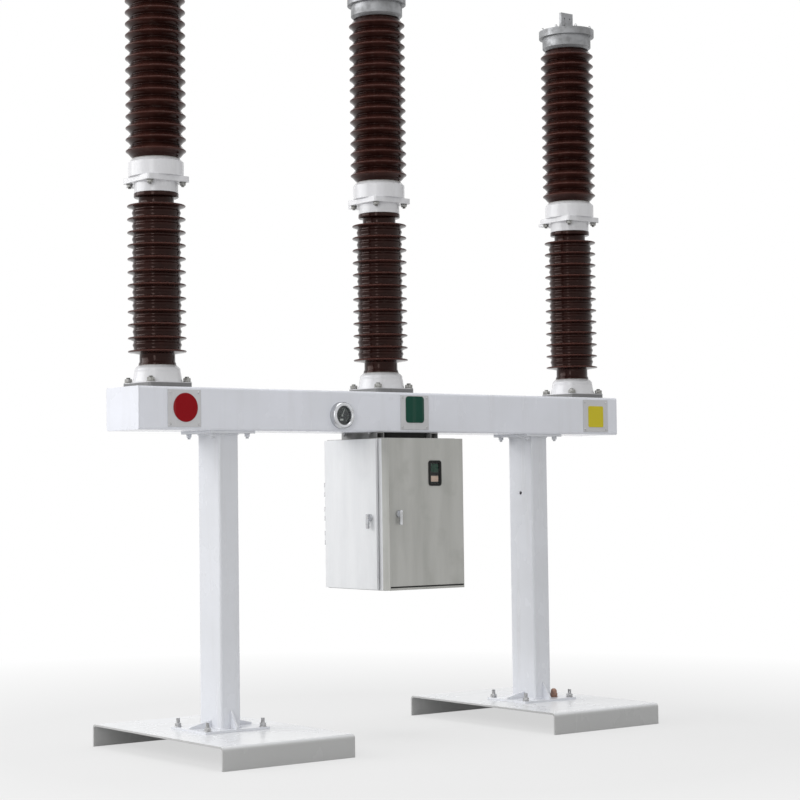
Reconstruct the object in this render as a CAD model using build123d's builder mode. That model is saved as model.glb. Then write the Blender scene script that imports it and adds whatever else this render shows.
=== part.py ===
from build123d import *
import os

os.makedirs("parts", exist_ok=True)

# A three-pole outdoor gas circuit breaker. X runs along the beam, Y away from the front, Z up from the ground.
# All lengths are in millimetres.

# Driving dimensions of the whole
pole_spacing = 1700.0
leg_spacing = 2542.0
beam_underside = 1929.0
overrun = 10.0

# Foot: one plate bent down at its front and its back
foot_width = 935.0
foot_depth = 1434.0
foot_height = 137.0
foot_plate = 12.0
foot_bend = 26.0

# Leg: a rectangular tube on a stiffened base plate, with a head plate under the beam
leg_width = 143.0
leg_depth = 233.0
leg_wall = 8.0
leg_corner = 15.0
leg_hole = 24.0
leg_hole_level = 1534.0
base_width = 460.0
base_depth = 380.0
base_thickness = 14.0
gusset_height = 110.0
side_gusset_height = 44.0
gusset_nose = 10.0
gusset_thickness = 14.0
gusset_inset = 6.0
anchor_spacing_x = 400.0
anchor_spacing_y = 320.0
anchor_hole = 30.0
head_width = 320.0
head_depth = 330.0
head_thickness = 16.0

# Beam: a closed box with an end plate on each end
beam_length = 3890.0
beam_depth = 363.0
beam_height = 256.0
beam_wall = 8.0
beam_corner = 14.0
end_thickness = 8.0

# Phase plates on the front of the beam, one beside each pole
phase_width = 230.0
phase_height = 220.0
phase_thickness = 5.0
phase_shift_left = 69.0
phase_shift_middle = 124.0
phase_shift_right = 37.0

# Gas density gauge on the front of the beam
gauge_place = -470.0
gauge_drop = 155.0
gauge_diameter = 168.0
gauge_depth = 42.0
gauge_rim = 28.0
gauge_round = 12.0
gauge_recess = 26.0
gauge_glass = 4.0

# Mechanism cabinet hung under the beam
cabinet_left = -248.0
cabinet_width = 606.0
cabinet_depth = 585.0
cabinet_reach = 300.0
cabinet_height = 954.0
cabinet_sheet = 3.0
hanger_height = 39.0
hanger_width = 60.0
hanger_wall = 5.0
hanger_inset = 70.0
frame_rim = 42.0
door_gap = 5.0
door_sheet = 3.0
front_door_depth = 70.0
side_door_depth = 16.0
side_door_setback = 54.0
door_margin = 4.0

# Pin hinges of the two doors
hinge_offset = 12.0
hinge_knuckle = 20.0
hinge_pin = 10.0
hinge_clearance = 0.08
hinge_end_gap = 0.5
hinge_length = 30.0
hinge_inset = 150.0
side_hinge_spacing = 155.0
side_hinge_count = 3
hinge_leaf = 4.0
hinge_leaf_width = 50.0
hinge_leaf_start = 16.0

# Quarter-turn handles of the two doors
handle_boss = 46.0
handle_boss_height = 16.0
handle_lever_width = 20.0
handle_lever_length = 92.0
handle_lever_thickness = 14.0
handle_shaft = 14.0
handle_gap = 0.3
handle_inset_front = 72.0
handle_inset_side = 60.0
front_handle_level = 480.0
side_handle_level = 455.0

# Window in the front door, with the state plate behind it
window_width = 104.0
window_height = 160.0
window_corner = 18.0
window_border = 16.0
window_proud = 5.0
window_seat = 9.0
window_place = 372.0
window_level = 731.0
glass_thickness = 4.0
state_plate_thickness = 3.0

# Pole: base, lower insulator, middle flange, interrupter seat, upper insulator, top flange and cap
pole_base_width = 307.0
pole_base_thickness = 28.0
pole_base_corner = 24.0
collar_foot_diameter = 300.0
collar_diameter = 274.0
collar_top_diameter = 236.0
collar_height = 100.0
collar_foot_height = 26.0
collar_throat = 20.0
collar_shoulder = 16.0
socket_depth = 60.0
socket_gap = 0.5
lower_neck_diameter = 212.0
lower_foot_diameter = 224.0
lower_foot_height = 24.0
lower_big_diameter = 350.0
lower_core_diameter = 282.0
lower_rib_diameter = 293.0
lower_pitch = 78.9
lower_big_count = 12
lower_first_shed = 86.0
lower_last_gap = 78.0
lower_rise_share = 0.07
lower_drop_share = 0.13
lower_rib_share = 0.16
lower_ring_diameter = 268.0
lower_ring_height = 26.0
mid_collar_diameter = 262.0
mid_collar_height = 62.0
mid_plate_width = 295.0
mid_plate_thickness = 33.0
mid_plate_corner = 20.0
terminal_width = 110.0
terminal_length = 105.0
terminal_thickness = 20.0
terminal_hole = 14.0
terminal_hole_spacing = 50.0
seat_diameter = 333.0
seat_height = 105.0
seat_chamfer = 18.0
seat_socket_depth = 70.0
upper_foot_diameter = 280.0
upper_core_diameter = 300.0
upper_big_diameter = 362.0
upper_pitch = 69.8
upper_big_count = 15
upper_first_shed = 52.0
upper_last_gap = 46.0
upper_rise_share = 0.43
upper_drop_share = 0.37
shed_tip = 10.0
top_seat_height = 90.0
top_lip_diameter = 380.0
top_lip_thickness = 26.0
cap_thickness = 22.0
cap_terminal_height = 130.0
cap_rib_reach = 70.0
cap_rib_thickness = 16.0

# Levels worked out from the sizes above
base_level = foot_height
leg_bottom = base_level + base_thickness
leg_top = beam_underside - head_thickness
beam_top = beam_underside + beam_height
beam_front = -beam_depth / 2
cabinet_top = beam_underside - hanger_height
cabinet_bottom = cabinet_top - cabinet_height
cabinet_right = cabinet_left + cabinet_width
cabinet_front = -cabinet_reach
cabinet_back = cabinet_front + cabinet_depth
side_door_inner = cabinet_left + side_door_depth
shell_left = side_door_inner + door_gap
front_door_inner = cabinet_front - door_gap
front_door_face = front_door_inner - front_door_depth
collar_top = beam_top + pole_base_thickness + collar_height
lower_visible_height = lower_first_shed + (lower_big_count - 1) * lower_pitch + lower_last_gap
upper_visible_height = upper_first_shed + (upper_big_count - 1) * upper_pitch + upper_last_gap
mid_collar_bottom = collar_top + lower_visible_height
mid_plate_bottom = mid_collar_bottom + mid_collar_height
mid_plate_top = mid_plate_bottom + mid_plate_thickness
seat_top = mid_plate_top + seat_height
top_flange_bottom = seat_top + upper_visible_height
top_flange_top = top_flange_bottom + top_seat_height + top_lip_thickness
cap_top = top_flange_top + cap_thickness

sides = {"left": -1, "right": 1}
poles = {"left": -pole_spacing, "middle": 0.0, "right": pole_spacing}


def box_between(x_range, y_range, z_range, mode=Mode.ADD):
    """A box given by where each of its sides lies."""
    ranges = (x_range, y_range, z_range)
    with Locations(tuple((low + high) / 2 for low, high in ranges)):
        Box(*(high - low for low, high in ranges), mode=mode)


# Feet: a plate with a flange bent down along the front edge and one along the back edge
for side, sign in sides.items():
    foot_plane = Plane.YZ.offset(sign * leg_spacing / 2 - foot_width / 2)
    with BuildPart() as foot:
        with BuildSketch(foot_plane):
            with Locations((0, foot_height / 2)):
                Rectangle(foot_depth, foot_height)
            fillet(vertices().group_by(Axis.Y)[-1], foot_bend)
        extrude(amount=foot_width)
        with BuildSketch(foot_plane):
            with Locations((0, (foot_height - foot_plate) / 2)):
                Rectangle(foot_depth - 2 * foot_plate, foot_height - foot_plate)
            fillet(vertices().group_by(Axis.Y)[-1], foot_bend - foot_plate)
        extrude(amount=foot_width, mode=Mode.SUBTRACT)
        with Locations((sign * leg_spacing / 2, 0, foot_height)):
            with GridLocations(anchor_spacing_x, anchor_spacing_y, 2, 2):
                Hole(anchor_hole / 2, depth=foot_plate)
    foot.part.label = f"foot_{side}"
    export_step(foot.part, f"parts/foot_{side}.step")

# Leg bases: a plate with a tall gusset before and behind the tube and a low one on either side
gusset_reach_x = (base_width - leg_width) / 2 - gusset_inset
gusset_reach_y = (base_depth - leg_depth) / 2 - gusset_inset
for side, sign in sides.items():
    leg_x = sign * leg_spacing / 2
    with BuildPart() as leg_base:
        with BuildSketch(Plane.XY.offset(base_level)):
            with Locations((leg_x, 0)):
                Rectangle(base_width, base_depth)
        extrude(amount=base_thickness)
        with Locations((leg_x, 0, leg_bottom)):
            with GridLocations(anchor_spacing_x, anchor_spacing_y, 2, 2):
                Hole(anchor_hole / 2, depth=base_thickness)
        for turn, half, reach, height in (
            (0, leg_width / 2, gusset_reach_x, side_gusset_height),
            (90, leg_depth / 2, gusset_reach_y, gusset_height),
            (180, leg_width / 2, gusset_reach_x, side_gusset_height),
            (270, leg_depth / 2, gusset_reach_y, gusset_height),
        ):
            outward = Vector(1, 0, 0).rotate(Axis.Z, turn)
            gusset_plane = Plane(
                origin=(leg_x, 0, leg_bottom), x_dir=outward, z_dir=outward.rotate(Axis.Z, -90)
            )
            with BuildSketch(gusset_plane):
                with BuildLine():
                    Polyline(
                        (half, 0), (half + reach, 0), (half + reach, gusset_nose), (half, height), close=True
                    )
                make_face()
            extrude(amount=gusset_thickness / 2, both=True)
    leg_base.part.label = f"leg_base_{side}"
    export_step(leg_base.part, f"parts/leg_base_{side}.step")

# Legs: rectangular tubes with rounded corners and a hole in the inner side, each under its own head plate
for side, sign in sides.items():
    leg_x = sign * leg_spacing / 2
    with BuildPart() as leg:
        with BuildSketch(Plane.XY.offset(leg_bottom)):
            with Locations((leg_x, 0)):
                RectangleRounded(leg_width, leg_depth, leg_corner)
                RectangleRounded(
                    leg_width - 2 * leg_wall,
                    leg_depth - 2 * leg_wall,
                    leg_corner - leg_wall,
                    mode=Mode.SUBTRACT,
                )
        extrude(amount=leg_top - leg_bottom)
        with BuildSketch(Plane.YZ.offset(leg_x - sign * leg_width / 2)):
            with Locations((0, leg_hole_level)):
                Circle(leg_hole / 2)
        extrude(amount=sign * leg_wall, mode=Mode.SUBTRACT)
    leg.part.label = f"leg_{side}"
    export_step(leg.part, f"parts/leg_{side}.step")

    with BuildPart() as leg_head:
        with BuildSketch(Plane.XY.offset(leg_top)):
            with Locations((leg_x, 0)):
                Rectangle(head_width, head_depth)
        extrude(amount=head_thickness)
    leg_head.part.label = f"leg_head_{side}"
    export_step(leg_head.part, f"parts/leg_head_{side}.step")

# Beam: a box section along X, closed by a plate on each end
with BuildPart() as beam:
    with BuildSketch(Plane.YZ.offset(end_thickness - beam_length / 2)):
        with Locations((0, beam_underside + beam_height / 2)):
            RectangleRounded(beam_depth, beam_height, beam_corner)
            RectangleRounded(
                beam_depth - 2 * beam_wall,
                beam_height - 2 * beam_wall,
                beam_corner - beam_wall,
                mode=Mode.SUBTRACT,
            )
    extrude(amount=beam_length - 2 * end_thickness)
beam.part.label = "beam"
export_step(beam.part, "parts/beam.step")

for side, sign in sides.items():
    with BuildPart() as beam_end:
        with BuildSketch(Plane.YZ.offset(sign * (beam_length - end_thickness) / 2)):
            with Locations((0, beam_underside + beam_height / 2)):
                RectangleRounded(beam_depth, beam_height, beam_corner)
        extrude(amount=end_thickness / 2, both=True)
    beam_end.part.label = f"beam_end_{side}"
    export_step(beam_end.part, f"parts/beam_end_{side}.step")

# Phase plates: flat plates against the front of the beam
phase_shifts = {"left": phase_shift_left, "middle": phase_shift_middle, "right": phase_shift_right}
for side, pole_x in poles.items():
    with BuildPart() as phase_plate:
        with BuildSketch(Plane.XZ.offset(-beam_front)):
            with Locations((pole_x + phase_shifts[side], beam_underside + beam_height / 2)):
                Rectangle(phase_width, phase_height)
        extrude(amount=phase_thickness)
    phase_plate.part.label = f"phase_plate_{side}"
    export_step(phase_plate.part, f"parts/phase_plate_{side}.step")

# Density gauge: a round housing with a recessed dial, and the glass over the dial
gauge_plane = Plane(
    origin=(gauge_place, beam_front, beam_top - gauge_drop), x_dir=(1, 0, 0), z_dir=(0, -1, 0)
)
gauge_window = gauge_diameter - 2 * gauge_rim
with BuildPart() as gauge_housing:
    with BuildSketch(gauge_plane):
        Circle(gauge_diameter / 2)
    extrude(amount=gauge_depth)
    fillet(edges().group_by(Axis.Y)[0], gauge_round)
    with BuildSketch(gauge_plane.offset(gauge_depth)):
        Circle(gauge_window / 2)
    extrude(amount=-gauge_recess, mode=Mode.SUBTRACT)
gauge_housing.part.label = "gauge_housing"
export_step(gauge_housing.part, "parts/gauge_housing.step")

with BuildPart() as gauge_cover:
    with BuildSketch(gauge_plane.offset(gauge_depth - gauge_recess)):
        Circle(gauge_window / 2 - socket_gap)
    extrude(amount=gauge_glass)
gauge_cover.part.label = "gauge_glass"
export_step(gauge_cover.part, "parts/gauge_glass.step")

# Cabinet hangers: two tubes across the underside of the beam that carry the cabinet's roof
with BuildPart() as cabinet_hangers:
    with BuildSketch(Plane.XZ.offset(beam_front)):
        for hanger_x in (shell_left + hanger_inset, cabinet_right - hanger_inset):
            with Locations((hanger_x, beam_underside - hanger_height / 2)):
                Rectangle(hanger_width, hanger_height)
                Rectangle(
                    hanger_width - 2 * hanger_wall, hanger_height - 2 * hanger_wall, mode=Mode.SUBTRACT
                )
    extrude(amount=beam_depth)
cabinet_hangers.part.label = "cabinet_hangers"
export_step(cabinet_hangers.part, "parts/cabinet_hangers.step")

# Cabinet shell: roof, floor, back and right side; the front and the left side are open
with BuildPart() as cabinet_shell:
    box_between((shell_left, cabinet_right), (cabinet_front, cabinet_back), (cabinet_bottom, cabinet_top))
    box_between(
        (shell_left - overrun, cabinet_right - cabinet_sheet),
        (cabinet_front - overrun, cabinet_back - cabinet_sheet),
        (cabinet_bottom + cabinet_sheet, cabinet_top - cabinet_sheet),
        mode=Mode.SUBTRACT,
    )
cabinet_shell.part.label = "cabinet_shell"
export_step(cabinet_shell.part, "parts/cabinet_shell.step")

# Door frames: a flat rim inside the front opening and one inside the left opening
inside_low = cabinet_bottom + cabinet_sheet
inside_high = cabinet_top - cabinet_sheet
with BuildPart() as front_frame:
    box_between(
        (shell_left, cabinet_right - cabinet_sheet),
        (cabinet_front, cabinet_front + cabinet_sheet),
        (inside_low, inside_high),
    )
    box_between(
        (shell_left + frame_rim, cabinet_right - cabinet_sheet - frame_rim),
        (cabinet_front - overrun, cabinet_front + cabinet_sheet + overrun),
        (inside_low + frame_rim, inside_high - frame_rim),
        mode=Mode.SUBTRACT,
    )
front_frame.part.label = "front_frame"
export_step(front_frame.part, "parts/front_frame.step")

with BuildPart() as side_frame:
    box_between(
        (shell_left, shell_left + cabinet_sheet),
        (cabinet_front + cabinet_sheet, cabinet_back - cabinet_sheet),
        (inside_low, inside_high),
    )
    box_between(
        (shell_left - overrun, shell_left + cabinet_sheet + overrun),
        (cabinet_front + side_door_setback + frame_rim, cabinet_back - cabinet_sheet - frame_rim),
        (inside_low + frame_rim, inside_high - frame_rim),
        mode=Mode.SUBTRACT,
    )
side_frame.part.label = "side_frame"
export_step(side_frame.part, "parts/side_frame.step")

# Hinges: a knuckle above and one below each door's sleeve, on a pin that runs through all three
door_low = cabinet_bottom + door_margin
door_high = cabinet_top - door_margin
front_hinge_levels = (door_low + hinge_inset, door_high - hinge_inset)
side_hinge_levels = [
    (door_low + door_high) / 2 + (index - (side_hinge_count - 1) / 2) * side_hinge_spacing
    for index in range(side_hinge_count)
]
front_axis = (cabinet_right + hinge_offset, front_door_inner)
side_axis = (side_door_inner, cabinet_back + hinge_offset)


def hinge_plane(axis, along, level):
    """A plane on the hinge axis, with x pointing away from the door's edge and y towards the cabinet."""
    z_sign = 1 if along == "x" else -1
    x_dir = (1, 0, 0) if along == "x" else (0, 1, 0)
    return Plane(origin=(*axis, level), x_dir=x_dir, z_dir=(0, 0, z_sign))


def hinge_sleeve(plane):
    """The door's own part of one hinge, open for the pin."""
    with BuildSketch(plane.offset(-hinge_length / 2)) as sleeve:
        Circle(hinge_knuckle / 2)
        with Locations((-hinge_offset / 2, -hinge_knuckle / 4)):
            Rectangle(hinge_offset, hinge_knuckle / 2)
        Circle(hinge_pin / 2 + hinge_clearance, mode=Mode.SUBTRACT)
    extrude(sleeve.sketch, amount=hinge_length)


def hinge_bracket(plane, reach):
    """The cabinet's part of one hinge: two knuckles, the pin and the leaf that holds them."""
    half_span = hinge_length / 2 + hinge_end_gap
    for start in (half_span, -half_span - hinge_length):
        with BuildSketch(plane.offset(start)) as knuckle:
            Circle(hinge_knuckle / 2)
            with Locations((-hinge_offset / 2, (hinge_leaf_start + reach) / 2)):
                Rectangle(hinge_offset, hinge_leaf_start + reach)
        extrude(knuckle.sketch, amount=hinge_length)
    with BuildSketch(plane.offset(-half_span)) as pin:
        Circle(hinge_pin / 2)
    extrude(pin.sketch, amount=2 * half_span)
    with BuildSketch(plane.offset(-half_span - hinge_length)) as leaf:
        with Locations((hinge_leaf / 2 - hinge_offset, hinge_leaf_start + reach + hinge_leaf_width / 2)):
            Rectangle(hinge_leaf, hinge_leaf_width)
    extrude(leaf.sketch, amount=2 * (half_span + hinge_length))


with BuildPart() as front_hinges:
    for level in front_hinge_levels:
        hinge_bracket(hinge_plane(front_axis, "x", level), door_gap)
front_hinges.part.label = "front_hinges"
export_step(front_hinges.part, "parts/front_hinges.step")

with BuildPart() as side_hinges:
    for level in side_hinge_levels:
        hinge_bracket(hinge_plane(side_axis, "y", level), door_gap)
side_hinges.part.label = "side_hinges"
export_step(side_hinges.part, "parts/side_hinges.step")

# Front door: a pan with its edges folded back, a window and a hole for the handle's shaft
window_centre = (cabinet_left + window_place, cabinet_bottom + window_level)
front_handle_centre = (cabinet_left + handle_inset_front, cabinet_bottom + front_handle_level)
handle_bore = handle_shaft / 2 + handle_gap
with BuildPart() as front_door:
    box_between((cabinet_left, cabinet_right), (front_door_face, front_door_inner), (door_low, door_high))
    box_between(
        (cabinet_left + door_sheet, cabinet_right - door_sheet),
        (front_door_face + door_sheet, front_door_inner + overrun),
        (door_low + door_sheet, door_high - door_sheet),
        mode=Mode.SUBTRACT,
    )
    with BuildSketch(Plane.XZ.offset(-front_door_face)):
        with Locations(window_centre):
            RectangleRounded(
                window_width - window_border, window_height - window_border, window_corner - window_border / 2
            )
        with Locations(front_handle_centre):
            Circle(handle_bore)
    extrude(amount=-door_sheet, mode=Mode.SUBTRACT)
    for level in front_hinge_levels:
        hinge_sleeve(hinge_plane(front_axis, "x", level))
front_door.part.label = "front_door"
export_step(front_door.part, "parts/front_door.step")

# Window: a rubber frame in the door's cut-out, the pane inside it and the state plate behind
pane_width = window_width - 2 * window_border
pane_height = window_height - 2 * window_border
frame_plane = Plane.XZ.offset(-front_door_face)
with BuildPart() as window_frame:
    with BuildSketch(frame_plane):
        with Locations(window_centre):
            RectangleRounded(window_width, window_height, window_corner)
    extrude(amount=window_proud)
    with BuildSketch(frame_plane):
        with Locations(window_centre):
            RectangleRounded(
                window_width - window_border, window_height - window_border, window_corner - window_border / 2
            )
    extrude(amount=-window_seat)
    with BuildSketch(frame_plane.offset(window_proud)):
        with Locations(window_centre):
            Rectangle(pane_width, pane_height)
    extrude(amount=-window_proud - window_seat, mode=Mode.SUBTRACT)
window_frame.part.label = "window_frame"
export_step(window_frame.part, "parts/window_frame.step")

with BuildPart() as window_pane:
    with BuildSketch(frame_plane):
        with Locations(window_centre):
            Rectangle(pane_width, pane_height)
    extrude(amount=glass_thickness / 2, both=True)
window_pane.part.label = "window_pane"
export_step(window_pane.part, "parts/window_pane.step")

with BuildPart() as state_plate:
    with BuildSketch(frame_plane.offset(-window_seat)):
        with Locations(window_centre):
            Rectangle(window_width, window_height)
    extrude(amount=-state_plate_thickness)
state_plate.part.label = "state_plate"
export_step(state_plate.part, "parts/state_plate.step")

# Side door: a shallow pan over the left opening, set back from the front corner
side_door_front = cabinet_front + side_door_setback
side_handle_centre = (side_door_front + handle_inset_side, cabinet_bottom + side_handle_level)
with BuildPart() as side_door:
    box_between((cabinet_left, side_door_inner), (side_door_front, cabinet_back), (door_low, door_high))
    box_between(
        (cabinet_left + door_sheet, side_door_inner + overrun),
        (side_door_front + door_sheet, cabinet_back - door_sheet),
        (door_low + door_sheet, door_high - door_sheet),
        mode=Mode.SUBTRACT,
    )
    with BuildSketch(Plane.YZ.offset(cabinet_left)):
        with Locations(side_handle_centre):
            Circle(handle_bore)
    extrude(amount=door_sheet, mode=Mode.SUBTRACT)
    for level in side_hinge_levels:
        hinge_sleeve(hinge_plane(side_axis, "y", level))
side_door.part.label = "side_door"
export_step(side_door.part, "parts/side_door.step")


# Handles: a boss on a shaft through the door, with a hanging lever
def door_handle(plane):
    """One handle, its lever hanging down, on a plane that lies on the door's outer face."""
    with BuildSketch(plane.offset(-door_sheet - handle_gap)) as shaft:
        Circle(handle_shaft / 2)
    extrude(shaft.sketch, amount=door_sheet + 2 * handle_gap)
    with BuildSketch(plane.offset(handle_gap)) as boss:
        Circle(handle_boss / 2)
    extrude(boss.sketch, amount=handle_boss_height)
    with BuildSketch(plane.offset(handle_gap + handle_boss_height)) as lever:
        with Locations((0, (handle_boss - handle_lever_length) / 2)):
            RectangleRounded(handle_lever_width, handle_lever_length, handle_lever_width / 3)
    extrude(lever.sketch, amount=handle_lever_thickness)


with BuildPart() as front_handle:
    door_handle(
        Plane(
            origin=(front_handle_centre[0], front_door_face, front_handle_centre[1]),
            x_dir=(1, 0, 0),
            z_dir=(0, -1, 0),
        )
    )
front_handle.part.label = "front_handle"
export_step(front_handle.part, "parts/front_handle.step")

with BuildPart() as side_handle:
    door_handle(
        Plane(
            origin=(cabinet_left, side_handle_centre[0], side_handle_centre[1]),
            x_dir=(0, -1, 0),
            z_dir=(-1, 0, 0),
        )
    )
side_handle.part.label = "side_handle"
export_step(side_handle.part, "parts/side_handle.step")


# Insulators: one revolved outline each, built up shed by shed
def shed_points(level, root_radius, tip_radius, rise, drop):
    """One shed from below: its underside root, its blunt tip and where its sloping top meets the core."""
    low = level - shed_tip / 2
    high = level + shed_tip / 2
    return [(root_radius, low - drop), (tip_radius, low), (tip_radius, high), (root_radius, high + rise)]


def lower_outline(bottom, top):
    """The outline of a lower insulator: a neck at each end, and a low rib between each pair of sheds."""
    neck = lower_neck_diameter / 2
    core = lower_core_diameter / 2
    foot = lower_foot_diameter / 2
    end = collar_top + lower_visible_height
    ring_bottom = end - lower_ring_height
    rise = lower_pitch * lower_rise_share
    drop = lower_pitch * lower_drop_share
    slope = lower_pitch * lower_rib_share
    sheds = []
    for index in range(lower_big_count):
        level = collar_top + lower_first_shed + index * lower_pitch
        sheds += shed_points(level, core, lower_big_diameter / 2, rise, drop)
        if index < lower_big_count - 1:
            sheds += shed_points(level + lower_pitch / 2, core, lower_rib_diameter / 2, slope, slope)
    sheds[0] = (neck, sheds[0][1])
    sheds[-1] = (neck, sheds[-1][1])
    points = [(0, bottom), (foot, bottom), (foot, collar_top + lower_foot_height / 2)]
    points += [(neck, collar_top + lower_foot_height)] + sheds
    ring = lower_ring_diameter / 2
    points += [(neck, ring_bottom), (ring, ring_bottom), (ring, end), (foot, end)]
    return points + [(foot, top), (0, top)]


def upper_outline(bottom, top):
    """The outline of an upper insulator, with equal sheds close together on a thick core."""
    core = upper_core_diameter / 2
    foot = upper_foot_diameter / 2
    rise = upper_pitch * upper_rise_share
    drop = upper_pitch * upper_drop_share
    points = [(0, bottom), (foot, bottom)]
    for index in range(upper_big_count):
        level = seat_top + upper_first_shed + index * upper_pitch
        points += shed_points(level, core, upper_big_diameter / 2, rise, drop)
    points[2] = (foot, points[2][1])
    points[-1] = (foot, points[-1][1])
    return points + [(foot, top), (0, top)]


def turned_outline(points):
    """The face that a turned piece is revolved from, given as radius and height points."""
    with BuildLine() as outline:
        Polyline(*points, close=True)
    make_face(outline.edges())


# Poles: the same seven pieces stacked on the beam three times
for side, pole_x in poles.items():
    turning = Plane(origin=(pole_x, 0, 0), x_dir=(1, 0, 0), z_dir=(0, -1, 0))
    pole_axis = Axis((pole_x, 0, 0), (0, 0, 1))

    collar_side = (collar_diameter - socket_gap) / 2, (collar_diameter + socket_gap) / 2
    with BuildPart() as pole_base:
        with BuildSketch(Plane.XY.offset(beam_top)):
            with Locations((pole_x, 0)):
                RectangleRounded(pole_base_width, pole_base_width, pole_base_corner)
        extrude(amount=pole_base_thickness)
        with BuildSketch(turning):
            foot_z = beam_top + pole_base_thickness
            neck_bore = lower_foot_diameter / 2 + socket_gap
            shoulder_z = collar_top - collar_shoulder
            turned_outline(
                [
                    (0, foot_z),
                    (collar_foot_diameter / 2, foot_z),
                    (collar_diameter / 2, foot_z + collar_foot_height),
                    (collar_diameter / 2, shoulder_z),
                    (collar_top_diameter / 2, collar_top),
                    (neck_bore, collar_top),
                    (neck_bore, collar_top - socket_depth),
                    (0, collar_top - socket_depth),
                ]
            )
            fillet(vertices().filter_by_position(Axis.X, *collar_side), collar_throat)
        revolve(axis=pole_axis)
    pole_base.part.label = f"pole_base_{side}"
    export_step(pole_base.part, f"parts/pole_base_{side}.step")

    with BuildPart() as lower_insulator:
        with BuildSketch(turning):
            turned_outline(lower_outline(collar_top - socket_depth, mid_collar_bottom + socket_depth))
        revolve(axis=pole_axis)
    lower_insulator.part.label = f"lower_insulator_{side}"
    export_step(lower_insulator.part, f"parts/lower_insulator_{side}.step")

    with BuildPart() as mid_flange:
        with BuildSketch(turning):
            turned_outline(
                [
                    (0, mid_collar_bottom + socket_depth),
                    (neck_bore, mid_collar_bottom + socket_depth),
                    (neck_bore, mid_collar_bottom),
                    (mid_collar_diameter / 2, mid_collar_bottom),
                    (mid_collar_diameter / 2, mid_plate_bottom),
                    (0, mid_plate_bottom),
                ]
            )
        revolve(axis=pole_axis)
        with BuildSketch(Plane.XY.offset(mid_plate_bottom)):
            with Locations((pole_x, 0)):
                RectangleRounded(mid_plate_width, mid_plate_width, mid_plate_corner)
        extrude(amount=mid_plate_thickness)
        terminal_y = (mid_plate_width + terminal_length) / 2
        with BuildSketch(Plane.XY.offset(mid_plate_bottom)):
            with Locations((pole_x, terminal_y)):
                Rectangle(terminal_width, terminal_length)
                with GridLocations(terminal_hole_spacing, terminal_hole_spacing, 2, 2):
                    Circle(terminal_hole / 2, mode=Mode.SUBTRACT)
        extrude(amount=terminal_thickness)
    mid_flange.part.label = f"mid_flange_{side}"
    export_step(mid_flange.part, f"parts/mid_flange_{side}.step")

    core_bore = upper_foot_diameter / 2 + socket_gap
    with BuildPart() as chamber_seat:
        with BuildSketch(turning):
            turned_outline(
                [
                    (0, mid_plate_top),
                    (seat_diameter / 2, mid_plate_top),
                    (seat_diameter / 2, seat_top - seat_chamfer),
                    (seat_diameter / 2 - seat_chamfer, seat_top),
                    (core_bore, seat_top),
                    (core_bore, seat_top - seat_socket_depth),
                    (0, seat_top - seat_socket_depth),
                ]
            )
        revolve(axis=pole_axis)
    chamber_seat.part.label = f"chamber_seat_{side}"
    export_step(chamber_seat.part, f"parts/chamber_seat_{side}.step")

    with BuildPart() as upper_insulator:
        with BuildSketch(turning):
            turned_outline(upper_outline(seat_top - seat_socket_depth, top_flange_bottom + seat_socket_depth))
        revolve(axis=pole_axis)
    upper_insulator.part.label = f"upper_insulator_{side}"
    export_step(upper_insulator.part, f"parts/upper_insulator_{side}.step")

    with BuildPart() as top_flange:
        with BuildSketch(turning):
            turned_outline(
                [
                    (0, top_flange_bottom + seat_socket_depth),
                    (core_bore, top_flange_bottom + seat_socket_depth),
                    (core_bore, top_flange_bottom),
                    (seat_diameter / 2 - seat_chamfer, top_flange_bottom),
                    (seat_diameter / 2, top_flange_bottom + seat_chamfer),
                    (seat_diameter / 2, top_flange_bottom + top_seat_height),
                    (top_lip_diameter / 2, top_flange_bottom + top_seat_height),
                    (top_lip_diameter / 2, top_flange_top),
                    (0, top_flange_top),
                ]
            )
        revolve(axis=pole_axis)
    top_flange.part.label = f"top_flange_{side}"
    export_step(top_flange.part, f"parts/top_flange_{side}.step")

    with BuildPart() as top_cap:
        with BuildSketch(Plane.XY.offset(top_flange_top)):
            with Locations((pole_x, 0)):
                Circle(top_lip_diameter / 2)
        extrude(amount=cap_thickness)
        with BuildSketch(Plane.XZ):
            with Locations((pole_x, cap_top + cap_terminal_height / 2)):
                Rectangle(terminal_width, cap_terminal_height)
                with GridLocations(terminal_hole_spacing, terminal_hole_spacing, 2, 2):
                    Circle(terminal_hole / 2, mode=Mode.SUBTRACT)
        extrude(amount=terminal_thickness / 2, both=True)
        with BuildSketch(Plane.YZ.offset(pole_x)):
            with BuildLine():
                Polyline(
                    (terminal_thickness / 2, cap_top),
                    (terminal_thickness / 2 + cap_rib_reach, cap_top),
                    (terminal_thickness / 2, cap_top + cap_rib_reach / 2),
                    close=True,
                )
            make_face()
        extrude(amount=cap_rib_thickness / 2, both=True)
    top_cap.part.label = f"top_cap_{side}"
    export_step(top_cap.part, f"parts/top_cap_{side}.step")
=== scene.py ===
from math import cos, pi, radians, sin

import bmesh
import bpy
from mathutils import Matrix, Vector


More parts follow.
